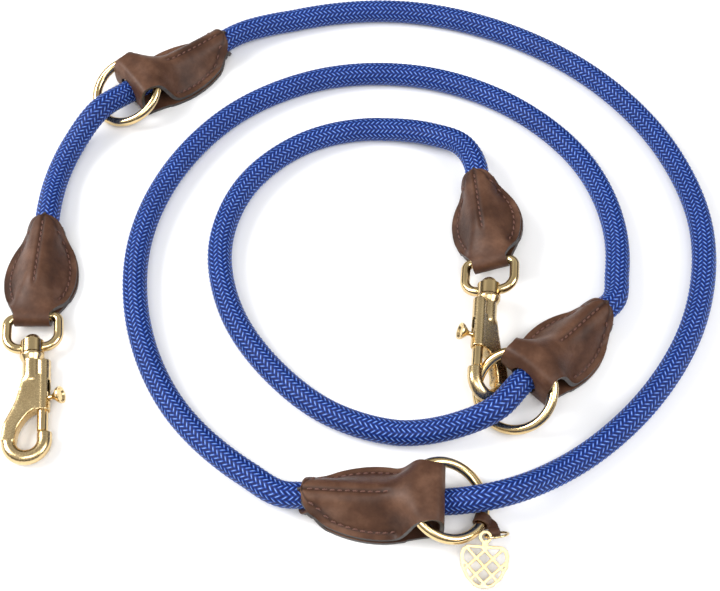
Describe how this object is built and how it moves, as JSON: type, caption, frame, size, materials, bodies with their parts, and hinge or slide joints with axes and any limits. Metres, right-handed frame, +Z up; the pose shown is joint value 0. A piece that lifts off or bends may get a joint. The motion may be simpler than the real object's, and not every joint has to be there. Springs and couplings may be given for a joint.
{
  "type": "adjustable rope lead",
  "caption": "Braided rope lead with a swivel bolt snap at each end, rings held in folded leather wraps, and a small charm, laid in a spiral.",
  "frame": {"origin": "middle of the box round the leather, rings, snaps and charm, on the flat surface the lead lies on", "axes": "+Z up from the surface; +X to the right and +Y away from the viewer when the first snap is at the left with its claw towards the viewer"},
  "size_m": [0.3494, 0.3411, 0.0261],
  "materials": {
    "rope": "woven",
    "rope_core": "twisted",
    "leather": "smooth",
    "thread": "waxed",
    "brass": "polished",
    "spring_steel": "drawn"
  },
  "bodies": {
    "lead": {"rope_cover": "rope", "rope_core": "rope_core", "wrap_1": "leather", "wrap_2": "leather", "wrap_3": "leather", "wrap_4": "leather", "wrap_5": "leather", "stitching_1": "thread", "stitching_2": "thread", "stitching_3": "thread", "stitching_4": "thread", "stitching_5": "thread"},
    "ring_1": {"ring_1": "brass"},
    "ring_2": {"ring_2": "brass"},
    "ring_3": {"ring_3": "brass"},
    "eye_1": {"swivel_eye_1": "brass"},
    "snap_1": {"snap_body_1": "brass", "bolt_spring_1": "spring_steel"},
    "bolt_1": {"snap_bolt_1": "brass", "thumb_knob_1": "brass"},
    "eye_2": {"swivel_eye_2": "brass"},
    "snap_2": {"snap_body_2": "brass", "bolt_spring_2": "spring_steel"},
    "bolt_2": {"snap_bolt_2": "brass", "thumb_knob_2": "brass"},
    "charm_strap": {"charm_strap": "leather"},
    "charm_jump_ring": {"charm_jump_ring": "brass"},
    "charm_tag": {"charm_tag": "brass"}
  },
  "joints": [
    {"name": "ring_1_turn", "type": "hinge", "parent": "lead", "child": "ring_1", "pos_m": [-0.0978, 0.1154, 0.0097], "axis": [-0.3283, -0.2474, 0.9116], "continuous": true},
    {"name": "ring_2_turn", "type": "hinge", "parent": "lead", "child": "ring_2", "pos_m": [0.09675, -0.06729, 0.0118], "axis": [-0.3732, -0.3732, 0.8494], "continuous": true},
    {"name": "ring_3_turn", "type": "hinge", "parent": "lead", "child": "ring_3", "pos_m": [0.064, -0.12105, 0.01045], "axis": [0.3689, -0.0193, 0.9293], "continuous": true},
    {"name": "eye_1_tilt", "type": "hinge", "parent": "lead", "child": "eye_1", "pos_m": [-0.13, -0.02465, 0.0064], "axis": [0.9945, 0.1045, 0], "range_deg": [-100, 100]},
    {"name": "snap_1_swivel", "type": "hinge", "parent": "eye_1", "child": "snap_1", "pos_m": [-0.12791, -0.04453, 0.00574], "axis": [0.1045, -0.994, -0.0332], "continuous": true},
    {"name": "bolt_1_slide", "type": "slide", "parent": "snap_1", "child": "bolt_1", "axis": [-0.1045, 0.994, 0.0332], "range_m": [0, 0.008], "stiffness_N_per_m": 400, "springref_m": -0.004, "deforming": ["bolt_spring_1"]},
    {"name": "eye_2_tilt", "type": "hinge", "parent": "lead", "child": "eye_2", "pos_m": [0.08921, 0.00369, 0.01231], "axis": [0.9365, -0.0948, 0.3376], "range_deg": [-0.6, 0.2]},
    {"name": "snap_2_swivel", "type": "hinge", "parent": "eye_2", "child": "snap_2", "pos_m": [0.08734, -0.01622, 0.01191], "axis": [-0.0935, -0.9954, -0.0202], "range_deg": [-3, 2]},
    {"name": "bolt_2_slide", "type": "slide", "parent": "snap_2", "child": "bolt_2", "axis": [0.0935, 0.9954, 0.0202], "range_m": [0, 0.008], "stiffness_N_per_m": 400, "springref_m": -0.004, "deforming": ["bolt_spring_2"]},
    {"name": "strap_slide_round_ring", "type": "hinge", "parent": "lead", "child": "charm_strap", "pos_m": [0.064, -0.12105, 0.01045], "axis": [0.3689, -0.0193, 0.9293], "range_deg": [-10, 8]},
    {"name": "jump_ring_swing", "type": "hinge", "parent": "charm_strap", "child": "charm_jump_ring", "pos_m": [0.08441, -0.13403, 0.00468], "axis": [0.988, 0.1409, -0.0632], "range_deg": [-15, 25]},
    {"name": "tag_swing", "type": "hinge", "parent": "charm_jump_ring", "child": "charm_tag", "pos_m": [0.07996, -0.13758, 0.00887], "axis": [0.0946, -0.5364, 0.8387], "range_deg": [-2, 35]}
  ]
}
